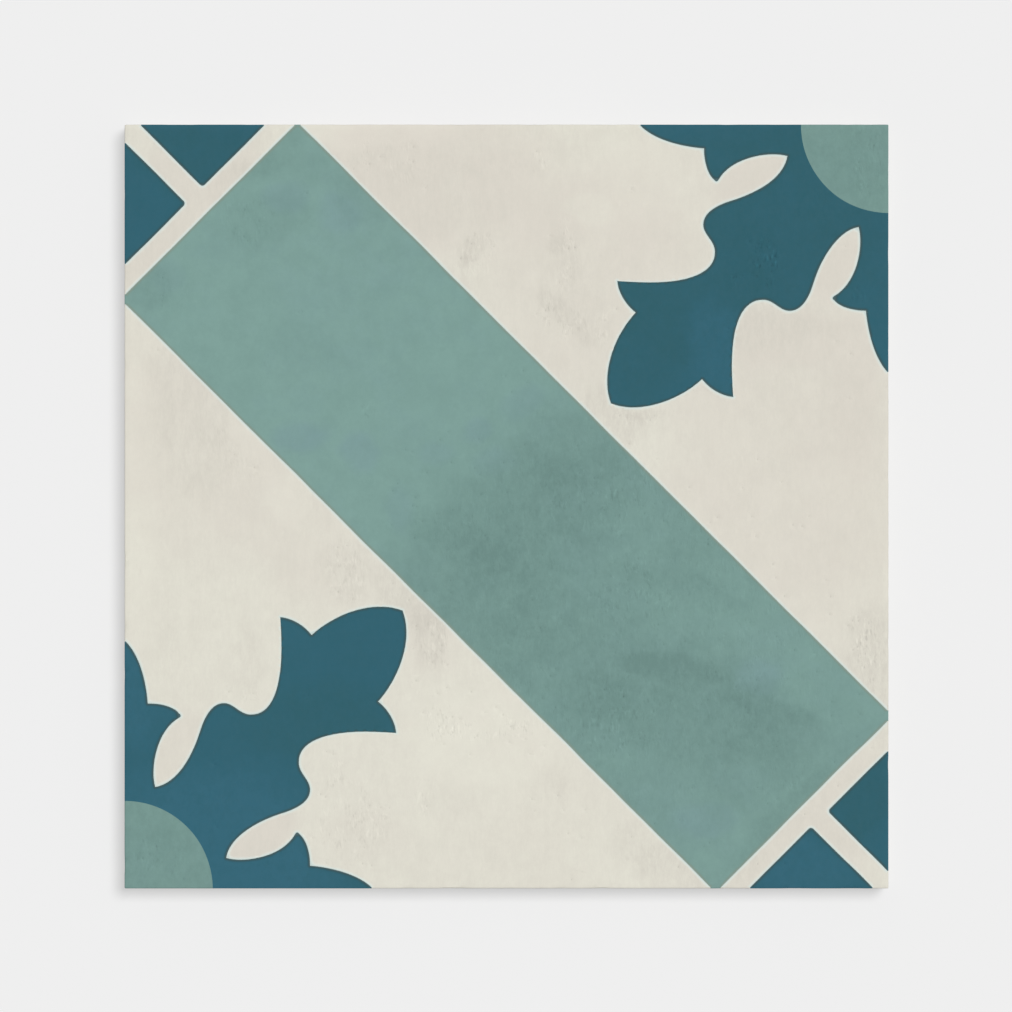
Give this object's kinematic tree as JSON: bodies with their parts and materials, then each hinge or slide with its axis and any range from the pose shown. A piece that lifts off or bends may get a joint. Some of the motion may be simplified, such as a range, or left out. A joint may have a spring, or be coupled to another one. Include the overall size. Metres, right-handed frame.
{
  "type": "encaustic tile",
  "caption": "Square encaustic floor tile: a sage diagonal band, deep teal quarter rosettes and small edge triangles inlaid flush in a matt cream face, with eased edges and a keyed back.",
  "frame": {"origin": "middle of the back, in the plane where the tile meets its bed", "axes": "+Z out through the decorated face; +X and +Y along two sides, to the right and up as the face is seen with the plain diagonal band running from upper left to lower right"},
  "size_m": [0.2, 0.2, 0.01],
  "materials": {
    "encaustic_clay": "matt unglazed fired clay: cream body, with teal and sage clays inlaid flush in the face"
  },
  "bodies": {
    "root": {"encaustic_tile": "encaustic_clay"}
  },
  "joints": []
}
